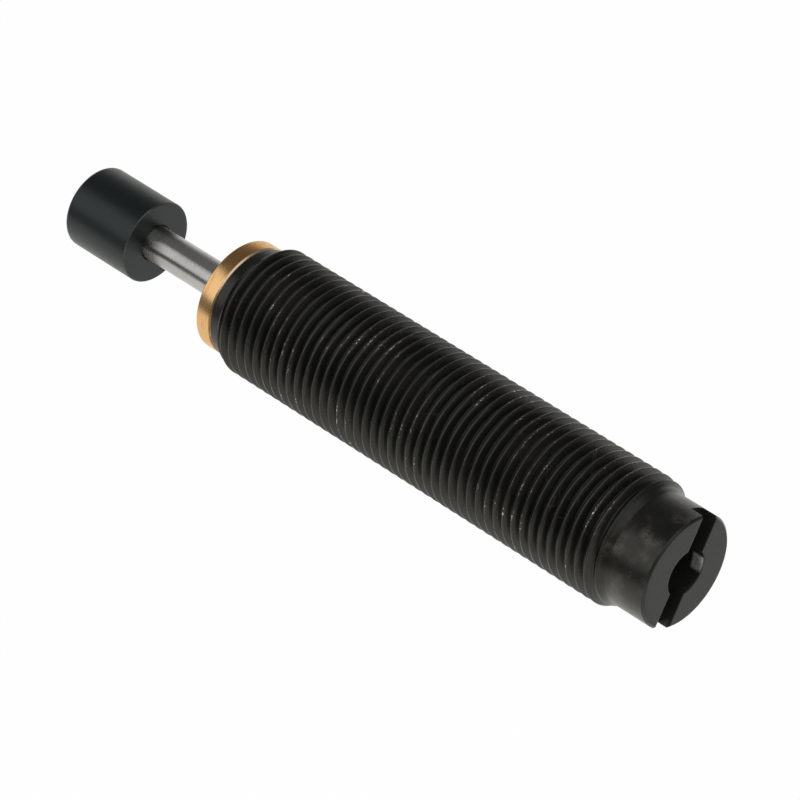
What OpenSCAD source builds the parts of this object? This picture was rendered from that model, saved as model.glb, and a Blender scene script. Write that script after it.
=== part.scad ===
// Miniature industrial shock absorber with a threaded body and a self-contained oil circuit.
// All pieces turn about the X axis. +X is the way the rod comes out of the body, +Z is up.
// The origin lies on the axis where the full mounting thread ends, next to the front collar.
// The model shows the rod fully out. Lengths are in millimetres.

/* [Body] */
// Major diameter of the M12 x 1 mounting thread
thread_d = 11.9; // [11.5:0.05:14]
// Pitch of that thread, which is drawn as parallel grooves instead of a helix
thread_pitch = 1; // [0.5:0.25:1.5]
// Length of the full thread
thread_len = 42.7; // [38:0.1:60]
// Diameter of the plain shank behind the thread
shank_d = 10.4; // [10.2:0.1:11.4]
// Length of the plain shank
shank_len = 4.1; // [3.5:0.1:8]
// Length of the cone where the thread runs out to the shank
rear_cone_len = 1.3; // [0.8:0.1:2.5]
// Bevel on the rear edge of the body
rear_bevel = 0.2; // [0.1:0.05:0.6]
// Diameter of the plain neck behind the collar
neck_d = 10.6; // [10.2:0.1:11.4]
// Length of the plain neck
neck_len = 0.55; // [0.3:0.05:3]
// Length of the lead-in cone between the neck and the thread
front_cone_len = 1.2; // [0.6:0.1:2.5]
// Diameter of the main bore inside the body
bore_d = 9.2; // [9:0.1:9.8]
// Thickness of the wall between the fill plug and the pressure tube
end_wall = 1.9; // [1:0.1:5]

/* [Rear end] */
// Width of the screwdriver slot across the rear face
slot_w = 2; // [1:0.1:3]
// Depth of the screwdriver slot
slot_depth = 1.4; // [0.8:0.1:2]
// Turn of the slot about the axis, in degrees from upright
slot_turn = 32; // [0:1:180]
// Diameter of the open hole in the middle of the rear face
fill_hole_d = 4.3; // [4.1:0.1:6]
// Depth of that hole down to the plug's own bore
fill_hole_depth = 2.4; // [1.6:0.1:4]
// Diameter of the fill plug
plug_d = 4; // [3.4:0.1:4]
// Length of the fill plug
plug_len = 3.1; // [2.6:0.1:5]
// How deep the plug sits below the end of its bore
plug_sink = 0.2; // [0:0.1:1]
// Width across flats of the plug's hexagon socket
plug_key = 2; // [1.3:0.1:2.2]
// Depth of the hexagon socket
plug_key_depth = 1.6; // [1:0.1:2]
// Thickness of the sealing disc under the plug
plug_seal_t = 0.4; // [0.2:0.1:1]
// Diameter of the oil passage behind the plug
passage_d = 1.8; // [0.8:0.1:2.4]

/* [Pressure tube] */
// Outer diameter of the pressure tube
tube_d = 7.8; // [7.4:0.1:8.4]
// Wall of the pressure tube
tube_wall = 0.8; // [0.4:0.05:1]
// Depth of the recess that centres the tube at the bottom of the main bore
tube_seat_depth = 1; // [0.5:0.1:2]
// Number of metering holes along the stroke
orifice_count = 6; // [3:1:8]
// Diameter of each metering hole
orifice_d = 0.6; // [0.3:0.05:0.8]
// Turn between one metering hole and the next, in degrees
orifice_step = 75; // [30:5:180]
// Number of return ports round the front of the tube
port_count = 4; // [2:1:6]
// Diameter of each return port
port_d = 1.2; // [0.6:0.1:1.4]

/* [Spring] */
// Diameter of the spring wire
wire_d = 0.5; // [0.3:0.05:0.6]
// Number of turns, with the closed turn at each end
coils = 10; // [6:1:14]
// Room that is left between all turns when the rod is fully in
coil_room = 0.45; // [0.2:0.05:3]
// Mean diameter of the coils
coil_d = 5.1; // [5.1:0.05:5.4]
// Thickness of the washer that the spring stands on
seat_t = 0.6; // [0.3:0.1:1.5]
// Thickness of the slip washer that the spring pushes against
follower_t = 0.3; // [0.2:0.05:1]

/* [Piston] */
// Thickness of the piston's front flange
piston_flange_t = 1.6; // [1:0.1:3]
// Diameter of the piston's hub, which carries the check ring
piston_hub_d = 4.4; // [4.2:0.1:4.6]
// Width of the check ring
ring_w = 1.38; // [0.8:0.01:3]
// Travel of the check ring between its two stops
ring_float = 0.28; // [0.1:0.01:0.6]
// Thickness of the plate that keeps the check ring on the hub
retainer_t = 0.6; // [0.4:0.1:1.5]
// Number of oil ways through the piston
piston_port_count = 6; // [3:1:8]
// Diameter of each oil way
piston_port_d = 0.55; // [0.3:0.05:0.6]
// Diameter of the threaded spigot on the rod's inner end
spigot_d = 2; // [1.6:0.1:2.4]
// Width across flats of the piston nut
nut_key = 3.6; // [3.2:0.1:3.8]
// Height of the piston nut
nut_h = 1.6; // [1:0.1:2.4]

/* [Rod and button] */
// Diameter of the piston rod
rod_d = 3.2; // [2.6:0.1:3.4]
// Travel of the rod, from fully out to fully in
stroke = 10.45; // [6:0.05:14]
// Gap that is left between button and collar when the rod is fully in
stop_gap = 0.05; // [0.02:0.01:0.5]
// Diameter of the button
button_d = 7.7; // [6.4:0.1:10]
// Length of the button
button_len = 7.7; // [6:0.1:12]
// Radius of the round edge at the button's impact face
button_round = 0.45; // [0.1:0.05:1.5]
// Bevel on the button's rear edge
button_bevel = 0.1; // [0.05:0.05:0.5]
// How far the rod reaches into the button
button_grip = 5; // [3:0.1:5.5]
// Width of the bevel round the rod at the button's rear face
button_sink = 0.15; // [0.1:0.05:0.8]

/* [Front guide and seals] */
// Thickness of the rod guide's flange
guide_flange_t = 1.5; // [1:0.1:3]
// Length of the guide's spigot inside the pressure tube
guide_spigot_len = 1; // [0.6:0.1:3]
// Outer diameter of the guide's sleeve
sleeve_d = 5.2; // [5:0.1:5.8]
// Wall of the bearing liner inside the guide
liner_wall = 0.4; // [0.25:0.05:0.5]
// Outer diameter of the foam sleeve
foam_d = 8.6; // [7:0.1:8.8]
// Gap at each end of the foam sleeve
foam_gap = 0.2; // [0.1:0.05:0.8]
// Thickness of the spacer between guide and front bush
spacer_t = 0.8; // [0.4:0.1:2]
// Length of the front bush inside the body
bush_len = 6.55; // [6.2:0.05:9]
// Diameter of the collar in front of the body
collar_d = 10.35; // [9.8:0.05:11.5]
// Thickness of that collar
collar_t = 1.65; // [1.5:0.05:4]
// Bevel on both rims of the collar
collar_bevel = 0.15; // [0.05:0.05:0.5]
// Outer diameter of the rod seal
seal_d = 6.6; // [5.6:0.1:6.8]
// Length of the rod seal
seal_len = 2.1; // [1.6:0.1:3]
// Length of the hard ring behind the rod seal
backup_len = 0.7; // [0.4:0.1:1.2]
// Free length beside the rod seal in its pocket
seal_room = 0.35; // [0.1:0.05:0.8]
// Cross-section of the static O-ring round the bush
o_ring_w = 1; // [0.8:0.05:1.1]
// Outer diameter of the wiper
wiper_d = 5.2; // [4.6:0.1:6.4]
// Length of the wiper
wiper_len = 0.9; // [0.6:0.05:1]

/* [Fits] */
// Radial clearance of the rod in its bearings
rod_fit = 0.03; // [0.01:0.01:0.08]
// Radial clearance of the piston in the pressure tube
piston_fit = 0.06; // [0.02:0.01:0.1]
// Radial clearance of the check ring in the tube and on the hub
ring_fit = 0.03; // [0.01:0.01:0.06]
// Radial clearance of pieces that are seated in one another
seat_fit = 0.02; // [0.005:0.005:0.05]
// Clearance of the seal lips round the rod
lip_fit = 0.015; // [0.01:0.005:0.03]
// Axial clearance where two pieces slip or stop on each other
slip_fit = 0.02; // [0.01:0.01:0.05]

/* [Hidden] */
$fn = 72;

// Cuts reach this far past the faces that they open
cut = 1;

// The metric thread form: flanks of 30 degrees, with the depth and the flat crest as shares of the pitch
thread_depth = 0.6134 * thread_pitch;
thread_crest = thread_pitch / 8;
thread_flank = 30;

// Radii
thread_r = thread_d / 2;
bore_r = bore_d / 2;
rod_r = rod_d / 2;
tube_r = tube_d / 2;
tube_in_r = tube_r - tube_wall;
coil_r = coil_d / 2;
hub_r = piston_hub_d / 2;
spigot_r = spigot_d / 2;
collar_r = collar_d / 2;
button_r = button_d / 2;
seal_r = seal_d / 2;
wiper_r = wiper_d / 2;
sleeve_r = sleeve_d / 2;
liner_r = rod_r + rod_fit + liner_wall;

// Places along the axis, from the rear face to the collar
x_rear = -(thread_len + rear_cone_len + shank_len);
x_body_front = front_cone_len + neck_len;
x_collar_front = x_body_front + collar_t;
x_plug_bore = x_rear + fill_hole_depth;
x_plug = x_plug_bore + plug_sink;
x_plug_seal = x_plug + plug_len;
x_shoulder = x_plug_seal + plug_seal_t;
x_bottom = x_shoulder + end_wall;

// The piston pack on the rod's spigot, as lengths from its rear plate to the piston's front face
hub_len = ring_w + ring_float + 2 * slip_fit;
pack_len = retainer_t + hub_len + piston_flange_t;

// The spring and what it works between
x_spring = x_bottom + seat_t;
spring_len = (coils + 1) * wire_d + coil_room + stroke;
x_follower = x_spring + spring_len;
x_retainer = x_follower + follower_t + slip_fit;
x_hub = x_retainer + retainer_t;
x_flange = x_hub + hub_len;
x_piston_front = x_retainer + pack_len;
x_guide = x_piston_front + stop_gap;
x_tube_front = x_guide + guide_spigot_len;
x_sleeve = x_tube_front + guide_flange_t;
x_bush = x_body_front - bush_len;
x_spacer = x_bush - spacer_t;

// The seal pocket in the rear of the bush
x_backup = x_bush + seal_room + seal_len;
x_pocket_end = x_backup + backup_len;
x_o_ring = (x_pocket_end + x_body_front) / 2 - 0.5;
o_ring_groove_w = 1.3 * o_ring_w;
wiper_room = 0.2;
x_wiper = x_collar_front - wiper_room - wiper_len;

// The button
x_button = x_collar_front + stroke + stop_gap;
x_button_front = x_button + button_len;
x_rod_end = x_button + button_grip - seat_fit;
x_nut = x_retainer - nut_h;
x_spigot_end = x_nut - 0.3;

// A solid turned about the X axis from a closed profile of [x, radius] points
module turned(profile)
    rotate([0, 90, 0]) rotate_extrude() polygon([for (p = profile) [p[1], p[0]]]);

// A plain ring between two places on the axis
module sleeve(x0, x1, r_in, r_out)
    turned([[x0, r_in], [x1, r_in], [x1, r_out], [x0, r_out]]);

// A round bar or a drill along the axis
module bar(x0, x1, r)
    translate([x0, 0, 0]) rotate([0, 90, 0]) cylinder(h = x1 - x0, r = r);

// A hexagon bar along the axis, sized across its flats
module hex_bar(x0, x1, flats)
    translate([x0, 0, 0]) rotate([0, 90, 0]) cylinder(h = x1 - x0, d = flats / cos(30), $fn = 6);

// Copies of the children evenly spaced round the axis
module around(count)
    for (i = [0 : count - 1]) rotate([360 * i / count, 0, 0]) children();

// A drill that runs out from the axis at one place and turn
module cross_drill(x, turn, d, reach)
    rotate([turn, 0, 0]) translate([x, 0, 0]) cylinder(h = reach, d = d);

// A drill parallel to the axis, at a radius
module offset_drill(x0, x1, at_r, d)
    translate([0, 0, at_r]) bar(x0, x1, d / 2);

// A ring in the form of one thread groove, reaching a little past the crests beside it
module thread_groove(x) {
    past = thread_crest / 4;
    top = (thread_pitch - thread_crest) / 2 + past * tan(thread_flank);
    bottom = top - (thread_depth + past) * tan(thread_flank);
    turned([
        [x - top, thread_r + past], [x - bottom, thread_r - thread_depth],
        [x + bottom, thread_r - thread_depth], [x + top, thread_r + past]
    ]);
}

// The grooves also cross the two cones, where they fade out
groove_first = -floor(front_cone_len / thread_pitch);
groove_last = floor((thread_len + rear_cone_len) / thread_pitch) - 1;

module outer_body() {
    color([0.13, 0.13, 0.14]) difference() {
        turned([
            [x_rear, 0], [x_rear, shank_d / 2 - rear_bevel], [x_rear + rear_bevel, shank_d / 2],
            [x_rear + shank_len, shank_d / 2], [-thread_len, thread_r], [0, thread_r],
            [front_cone_len, neck_d / 2], [x_body_front, neck_d / 2], [x_body_front, 0]
        ]);
        for (i = [groove_first : groove_last]) thread_groove(-(i + 0.5) * thread_pitch);
        bar(x_bottom + tube_seat_depth, x_body_front + cut, bore_r);
        bar(x_bottom, x_bottom + tube_seat_depth + cut, tube_r + seat_fit);
        bar(x_shoulder - cut, x_bottom + cut, passage_d / 2);
        bar(x_plug_bore - cut, x_shoulder, plug_d / 2);
        bar(x_rear - cut, x_plug_bore, fill_hole_d / 2);
        rotate([slot_turn, 0, 0]) translate([x_rear - cut, -slot_w / 2, -shank_d])
            cube([slot_depth + cut, slot_w, 2 * shank_d]);
    }
}

module fill_plug() {
    r = plug_d / 2 - seat_fit;
    bevel = 0.25;
    color([0.3, 0.3, 0.32]) difference() {
        turned([
            [x_plug, 0], [x_plug, r - bevel], [x_plug + bevel, r],
            [x_plug_seal - bevel, r], [x_plug_seal, r - bevel], [x_plug_seal, 0]
        ]);
        hex_bar(x_plug - cut, x_plug + plug_key_depth, plug_key);
    }
}

module plug_seal()
    color([0.72, 0.45, 0.3]) bar(x_plug_seal, x_shoulder, plug_d / 2 - seat_fit);

// Distance of metering hole i from the start of the stroke. The holes crowd together towards
// its end, so that the open area falls with the speed and the force stays level.
function orifice_at(i) = stroke * (1 - pow(1 - (i + 0.5) / orifice_count, 2));

module pressure_tube() {
    lead = 0.2;
    color([0.62, 0.64, 0.67]) difference() {
        turned([
            [x_bottom, tube_in_r], [x_tube_front, tube_in_r], [x_tube_front, tube_r - lead],
            [x_tube_front - lead, tube_r], [x_bottom + lead, tube_r], [x_bottom, tube_r - lead]
        ]);
        for (i = [0 : orifice_count - 1])
            cross_drill(x_retainer - orifice_at(i), i * orifice_step, orifice_d, tube_r + cut);
        around(port_count) cross_drill(x_guide - port_d / 2 - 0.1, 0, port_d, tube_r + cut);
    }
}

module spring_seat()
    color([0.55, 0.56, 0.58]) sleeve(x_bottom, x_spring, passage_d / 2 + 0.3, tube_in_r - seat_fit);

// The helix of the spring: how far its wire has risen after t turns. One closed turn lies at
// each end, where the wire rises by its own thickness, and the others share the rest evenly.
function coil_rise(t) =
    let (open_pitch = (spring_len - 3 * wire_d) / (coils - 2))
    t < 1 ? t * wire_d :
    t > coils - 1 ? spring_len - wire_d - (coils - t) * wire_d :
    wire_d + (t - 1) * open_pitch;

// One cross-section of the wire after t turns, square to its path
function wire_ring(t, sides) =
    let (
        a = 360 * t,
        rise = (coil_rise(t + 0.01) - coil_rise(t - 0.01)) / 0.02,
        lean = atan2(rise, 2 * PI * coil_r),
        x = x_spring + wire_d / 2 + coil_rise(t)
    )
    [for (k = [0 : sides - 1])
        let (
            b = 360 * k / sides,
            out = coil_r + wire_d / 2 * cos(b),
            up = wire_d / 2 * sin(b)
        )
        [x + up * cos(lean), out * cos(a) + up * sin(lean) * sin(a), out * sin(a) - up * sin(lean) * cos(a)]
    ];

module return_spring() {
    sides = 8;
    steps = 14;
    rings = coils * steps;
    points = [for (i = [0 : rings]) each wire_ring(i / steps, sides)];
    walls = [
        for (i = [0 : rings - 1]) for (k = [0 : sides - 1])
            let (a = i * sides + k, b = i * sides + (k + 1) % sides)
            [a, b, b + sides, a + sides]
    ];
    ends = [
        [for (k = [sides - 1 : -1 : 0]) k],
        [for (k = [0 : sides - 1]) rings * sides + k]
    ];
    color([0.6, 0.6, 0.62]) polyhedron(points = points, faces = concat(walls, ends));
}

module spring_follower()
    color([0.7, 0.7, 0.72])
        sleeve(x_follower, x_follower + follower_t, coil_r - wire_d / 2, tube_in_r - piston_fit);

module piston_nut()
    color([0.5, 0.5, 0.52]) difference() {
        hex_bar(x_nut, x_retainer, nut_key);
        bar(x_nut - cut, x_retainer + cut, spigot_r + seat_fit);
    }

module ring_retainer()
    color([0.66, 0.67, 0.7]) difference() {
        sleeve(x_retainer, x_hub, spigot_r + seat_fit, tube_in_r - 2 * piston_fit);
        around(piston_port_count) offset_drill(x_retainer - cut, x_hub + cut, hub_r, piston_port_d);
    }

module check_ring() {
    x0 = x_hub + slip_fit;
    edge = 0.1;
    r_in = hub_r + ring_fit;
    r_out = tube_in_r - ring_fit;
    color([0.75, 0.55, 0.3]) turned([
        [x0, r_in], [x0 + ring_w, r_in], [x0 + ring_w, r_out],
        [x0 + edge, r_out], [x0, r_out - edge]
    ]);
}

module piston() {
    edge = 0.15;
    r_out = tube_in_r - piston_fit;
    r_in = spigot_r + seat_fit;
    way_r = (hub_r + r_out) / 2;
    color([0.58, 0.59, 0.62]) difference() {
        turned([
            [x_hub, r_in], [x_hub, hub_r], [x_flange, hub_r], [x_flange, r_out],
            [x_piston_front - edge, r_out], [x_piston_front, r_out - edge], [x_piston_front, r_in]
        ]);
        around(piston_port_count) {
            offset_drill(x_flange - cut / 2, x_piston_front + cut, way_r, piston_port_d);
            offset_drill(x_hub - cut, x_flange, hub_r, piston_port_d);
        }
    }
}

module piston_rod() {
    bevel = 0.2;
    color([0.8, 0.8, 0.82]) turned([
        [x_spigot_end, 0], [x_spigot_end, spigot_r - bevel], [x_spigot_end + bevel, spigot_r],
        [x_piston_front, spigot_r], [x_piston_front, rod_r],
        [x_rod_end - bevel, rod_r], [x_rod_end, rod_r - bevel], [x_rod_end, 0]
    ]);
}

module rod_guide() {
    scallop_d = 1.2;
    r_in = liner_r + seat_fit;
    color([0.5, 0.51, 0.54]) difference() {
        turned([
            [x_guide, r_in], [x_guide, tube_in_r - seat_fit], [x_tube_front, tube_in_r - seat_fit],
            [x_tube_front, bore_r - seat_fit], [x_sleeve, bore_r - seat_fit], [x_sleeve, sleeve_r],
            [x_spacer, sleeve_r], [x_spacer, r_in]
        ]);
        around(6) offset_drill(x_tube_front - cut, x_sleeve + cut, bore_r, scallop_d);
        around(4) cross_drill((x_sleeve + x_spacer) / 2, 45, scallop_d, sleeve_r + cut);
    }
}

module guide_bearing()
    color([0.72, 0.52, 0.3]) sleeve(x_guide, x_sleeve, rod_r + rod_fit, liner_r);

module accumulator_foam()
    color([0.2, 0.2, 0.22])
        sleeve(x_sleeve + foam_gap, x_spacer - foam_gap, sleeve_r + seat_fit, foam_d / 2);

module seal_spacer()
    color([0.6, 0.6, 0.62]) sleeve(x_spacer, x_bush, rod_r + 5 * rod_fit, bore_r - seat_fit);

// A lip seal with its open side to the oil: two lips and a groove between them
module rod_seal() {
    x0 = x_bush + seal_room;
    r_in = rod_r + lip_fit;
    r_out = seal_r - seat_fit;
    mid = (r_in + r_out) / 2;
    groove = (r_out - r_in) / 4;
    relief = 0.12;
    color([0.12, 0.12, 0.13]) turned([
        [x0, r_in], [x0 + seal_len / 2, r_in + relief], [x_backup, r_in + relief],
        [x_backup, r_out], [x0 + seal_len / 3, r_out - relief / 2], [x0, r_out],
        [x0, mid + groove], [x0 + seal_len / 2, mid + groove / 2],
        [x0 + seal_len / 2, mid - groove / 2], [x0, mid - groove]
    ]);
}

module backup_ring()
    color([0.9, 0.88, 0.82]) sleeve(x_backup, x_pocket_end, rod_r + rod_fit, seal_r - seat_fit);

module bearing_collar() {
    color([0.78, 0.55, 0.35]) difference() {
        turned([
            [x_bush, 0], [x_bush, bore_r - seat_fit], [x_body_front, bore_r - seat_fit],
            [x_body_front, collar_r - collar_bevel], [x_body_front + collar_bevel, collar_r],
            [x_collar_front - collar_bevel, collar_r], [x_collar_front, collar_r - collar_bevel],
            [x_collar_front, 0]
        ]);
        bar(x_bush - cut, x_collar_front + cut, rod_r + rod_fit);
        bar(x_bush - cut, x_pocket_end, seal_r);
        bar(x_wiper, x_collar_front + cut, wiper_r + seat_fit);
        sleeve(x_o_ring - o_ring_groove_w / 2, x_o_ring + o_ring_groove_w / 2,
            bore_r - o_ring_w, bore_r + cut);
    }
}

module collar_o_ring() {
    w = o_ring_w - 2 * seat_fit;
    color([0.1, 0.1, 0.11]) translate([x_o_ring, 0, 0]) rotate([0, 90, 0])
        rotate_extrude() translate([bore_r - o_ring_w / 2, 0]) circle(d = w);
}

// The wiper's thin lip stands at the front and leans on the rod
module rod_wiper() {
    x1 = x_wiper + wiper_len;
    r_in = rod_r + lip_fit;
    r_out = wiper_r;
    color([0.14, 0.14, 0.15]) turned([
        [x_wiper, r_in + 0.3], [x_wiper + wiper_len / 2, r_in + 0.15], [x1, r_in],
        [x1, r_in + 0.12], [x_wiper + wiper_len / 2, (r_in + r_out) / 2],
        [x_wiper + 0.7 * wiper_len, r_out - 0.2], [x_wiper + 0.7 * wiper_len, r_out],
        [x_wiper, r_out]
    ]);
}

// The button's outline has a quarter circle at its front edge
module rod_button() {
    r = button_r;
    round_r = button_round;
    color([0.2, 0.22, 0.25]) difference() {
        rotate([0, 90, 0]) rotate_extrude() union() {
            polygon([
                [0, x_button], [r - button_bevel, x_button], [r, x_button + button_bevel],
                [r, x_button_front - round_r], [r - round_r, x_button_front], [0, x_button_front]
            ]);
            translate([r - round_r, x_button_front - round_r]) circle(r = round_r);
        }
        bar(x_button - cut, x_button + button_grip, rod_r + seat_fit / 2);
        turned([
            [x_button - cut, 0], [x_button - cut, rod_r + button_sink], [x_button, rod_r + button_sink],
            [x_button + button_sink, rod_r], [x_button + button_sink, 0]
        ]);
    }
}

outer_body();
fill_plug();
plug_seal();
pressure_tube();
spring_seat();
return_spring();
spring_follower();
piston_nut();
ring_retainer();
check_ring();
piston();
piston_rod();
rod_guide();
guide_bearing();
accumulator_foam();
seal_spacer();
rod_seal();
backup_ring();
bearing_collar();
collar_o_ring();
rod_wiper();
rod_button();
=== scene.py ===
"""Miniature shock absorber: finished pieces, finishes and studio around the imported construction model."""

import math

import bpy
import numpy as np
from bpy.types import Operator, Panel, PropertyGroup
from mathutils import Matrix, Vector


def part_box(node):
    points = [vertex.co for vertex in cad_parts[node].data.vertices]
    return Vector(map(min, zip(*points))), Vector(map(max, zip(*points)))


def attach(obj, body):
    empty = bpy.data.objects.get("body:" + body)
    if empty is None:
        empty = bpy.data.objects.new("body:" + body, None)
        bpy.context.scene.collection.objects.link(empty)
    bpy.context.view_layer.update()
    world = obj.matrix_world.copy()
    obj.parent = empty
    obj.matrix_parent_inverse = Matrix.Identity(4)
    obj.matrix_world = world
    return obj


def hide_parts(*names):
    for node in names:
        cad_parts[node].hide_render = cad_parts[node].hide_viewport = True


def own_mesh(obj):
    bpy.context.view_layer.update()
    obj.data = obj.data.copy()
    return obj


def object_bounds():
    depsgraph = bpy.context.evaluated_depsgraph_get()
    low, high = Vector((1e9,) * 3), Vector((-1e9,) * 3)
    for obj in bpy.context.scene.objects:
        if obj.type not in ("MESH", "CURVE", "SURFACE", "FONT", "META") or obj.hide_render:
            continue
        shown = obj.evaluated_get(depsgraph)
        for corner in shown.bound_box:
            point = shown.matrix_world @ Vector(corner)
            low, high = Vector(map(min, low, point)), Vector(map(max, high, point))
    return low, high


bl_info = {
    "name": "Miniature Shock Absorber",
    "version": (1, 0, 0),
    "blender": (4, 5, 0),
    "location": "View3D > Sidebar > Shock Absorber",
    "description": "Builds the finished pieces, finishes and studio of a miniature shock absorber",
    "category": "Object",
}

MM = 0.001
PER_MM = 1 / MM
FULL_TURN = 2 * math.pi
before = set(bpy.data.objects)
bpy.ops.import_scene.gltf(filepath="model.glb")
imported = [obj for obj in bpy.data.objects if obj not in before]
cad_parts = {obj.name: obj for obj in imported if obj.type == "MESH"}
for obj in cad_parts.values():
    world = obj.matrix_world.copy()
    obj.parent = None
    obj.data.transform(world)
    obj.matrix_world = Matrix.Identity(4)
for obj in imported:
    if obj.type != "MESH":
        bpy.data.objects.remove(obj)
CAD_BOX = [list(corner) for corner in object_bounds()]


def span(node):
    """Where a node of the construction model lies on the axis: rear end, front end and largest radius."""
    low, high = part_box(node)
    return low.x, high.x, max(-low.y, -low.z, high.y, high.z)


BARREL_REAR, BARREL_FRONT, _ = span("outer_body")
CREST_RADIUS = min(abs(v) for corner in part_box("outer_body") for v in corner[1:])


# ---------------------------------------------------------------- sizes and colours


def number(name, about, default, **more):
    """A number that a user may change."""
    return bpy.props.FloatProperty(name=name, description=about, default=default, **more)


def length(name, about, mm):
    """A length that a user may change. Its default is given in millimetres."""
    return number(name, about, mm * MM, unit="LENGTH", precision=5, min=0)


def turn(name, about, degrees):
    """An angle that a user may change. Its default is given in degrees."""
    return number(name, about, math.radians(degrees), subtype="ANGLE")


def share(name, about, default):
    """A number between nothing and all."""
    return number(name, about, default, min=0, max=1, subtype="FACTOR")


def colour(name, about, *rgb):
    """A colour that a user may change."""
    return bpy.props.FloatVectorProperty(
        name=name, description=about, default=rgb, size=3, min=0, max=1, subtype="COLOR"
    )


class ShockThread(PropertyGroup):
    """Sizes of the mounting thread on the barrel."""

    pitch: length("Pitch", "Distance between two crests of the thread", 1.0)
    crest_radius: length("Crest radius", "Radius over the crests", CREST_RADIUS / MM)
    root_radius: length("Root radius", "Radius in the grooves", 5.34)
    crest_width: length("Crest width", "Width of the flat on each crest", 0.11)
    crest_softness: length("Crest softness", "Rounding of the crest's edges", 0.04)
    start_turn: turn("Start turn", "Turn at which a crest meets the front end of the full thread", 145)
    rear_runout: length("Rear run-out", "Length of the cone between shank and full thread", 1.3)
    front_runout: length("Front run-out", "Length of the chamfer between full thread and neck", 0.8)
    nicks: bpy.props.IntProperty(
        name="Nicks", description="Number of small dents in the crests", default=190, min=0, max=600
    )


class ShockBarrel(PropertyGroup):
    """Sizes of the barrel apart from its thread."""

    shank_radius: length("Shank radius", "Radius of the plain shank at the rear", 5.2)
    shank_length: length("Shank length", "Length of the plain shank", 4.1)
    rear_bevel: length("Rear bevel", "Bevel on the rear rim", 0.2)
    slot_width: length("Slot width", "Width of the screwdriver slot", 2.0)
    slot_depth: length("Slot depth", "Depth of the screwdriver slot", 1.4)
    slot_turn: turn("Slot turn", "Turn of the slot about the axis, from upright", 32)
    hole_radius: length("Hole radius", "Radius of the hole in the rear face", 2.15)
    hole_depth: length("Hole depth", "Depth of that hole", 2.4)
    passage_radius: length("Passage radius", "Radius of the oil passage behind the plug", 0.9)
    seat_depth: length("Seat depth", "Depth of the recess that centres the pressure tube", 1.0)
    neck_radius: length("Neck radius", "Radius of the plain neck behind the collar", 5.14)
    edge_round: length("Edge rounding", "Rounding of the slot's and the hole's edges", 0.06)


class ShockFront(PropertyGroup):
    """Sizes of the collar, the rod and the button."""

    collar_bevel: length("Collar bevel", "Bevel on both rims of the collar", 0.15)
    collar_edge: length("Collar edge", "Rounding of the collar's other edges", 0.03)
    groove_depth: length("Groove depth", "Depth of the groove for the static ring", 1.0)
    running_fit: length("Running fit", "Radial clearance round the rod", 0.03)
    seat_fit: length("Seat fit", "Radial clearance of pieces that are seated in one another", 0.02)
    spigot_radius: length("Spigot radius", "Radius of the spigot on the rod's inner end", 1.0)
    button_round: length("Button rounding", "Radius of the round edge of the impact face", 0.45)
    button_bevel: length("Button bevel", "Bevel on the button's rear rim", 0.1)
    button_grip: length("Button grip", "How far the rod reaches into the button", 5.0)
    button_sink: length("Button sink", "Width of the bevel round the rod", 0.15)


class ShockInside(PropertyGroup):
    """Sizes of the return spring and the foam sleeve."""

    wire_radius: length("Wire radius", "Radius of the spring's wire", 0.25)
    turns: bpy.props.IntProperty(
        name="Turns", description="Turns of the spring, with the closed turn at each end", default=10, min=4
    )
    foam_bore: length("Foam bore", "Radius of the bore of the foam sleeve", 2.62)
    foam_cell: length("Foam cell", "Size of a cell of the foam", 0.32)
    stroke: length("Stroke", "Travel of the rod, by which the spring is squeezed", 10.45)


class ShockFinish(PropertyGroup):
    """Colours of the finishes."""

    oxide: colour("Oxide black", "Black oxide on the barrel", 0.0066, 0.0066, 0.0046)
    oxide_brown: colour("Oxide brown", "Thin oxide where the barrel has been handled", 0.0205, 0.0185, 0.0135)
    bare_steel: colour("Bare steel", "Steel where the black has rubbed off", 0.30, 0.28, 0.26)
    button_black: colour("Button black", "Blue-black oxide on the button", 0.0050, 0.0082, 0.0092)
    bronze: colour("Bronze", "Bearing bronze", 0.77, 0.465, 0.215)
    # Besides real tarnish, this colour gives the painted shade along the collar's top and, much darkened, on its
    # rims low down
    bronze_dark: colour("Bronze tarnish", "Tarnish on the bronze", 0.50, 0.235, 0.075)
    ground_steel: colour("Ground steel", "Ground and polished rod", 0.50, 0.49, 0.475)
    machined_steel: colour("Machined steel", "Bright machined steel", 0.46, 0.455, 0.45)
    spring_steel: colour("Spring steel", "Drawn spring wire", 0.33, 0.32, 0.31)
    copper: colour("Copper", "Annealed copper of the sealing disc", 0.82, 0.42, 0.25)
    rubber: colour("Rubber", "Seal rubber", 0.014, 0.014, 0.015)
    foam: colour("Foam", "Closed-cell foam", 0.035, 0.036, 0.04)
    hard_ring: colour("Hard ring", "Ivory-white low-friction plastic", 0.74, 0.71, 0.64)
    wear: share("Wear", "How much of the black has rubbed off the thread's crests", 0.2)


class ShockStudio(PropertyGroup):
    """Floor, lamps and camera."""

    floor_white: colour("Floor", "Colour of the floor and the backdrop", 0.9, 0.9, 0.9)
    floor_lift: share("Floor lift", "How far floor and backdrop are lifted to plain white", 0.985)
    room_level: number("Room level", "Brightness of the room above the floor", 0.16, min=0)
    key_level: number("Key level", "Brightness of the lamp above the rear end", 0.62, min=0)
    side_level: number("Side level", "Brightness of the broad lamp at the side", 1.0, min=0)
    camera_turn: turn("Camera turn", "Turn of the camera round the object, from +X toward +Y", 134.35)
    camera_tilt: turn("Camera tilt", "Height of the camera as an angle above the floor", 39.68)
    camera_distance: length("Camera distance", "Distance of the camera from the aim point", 370.0)
    camera_lens: number("Lens", "Focal length of the camera", 197.24, min=10, unit="CAMERA")
    aim_shift: bpy.props.FloatVectorProperty(
        name="Aim", description="Aim point, from the middle of the object", default=(-0.00218, -0.00062, -0.00129),
        size=3, unit="LENGTH", precision=5,
    )


# ---------------------------------------------------------------- surfaces


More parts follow.
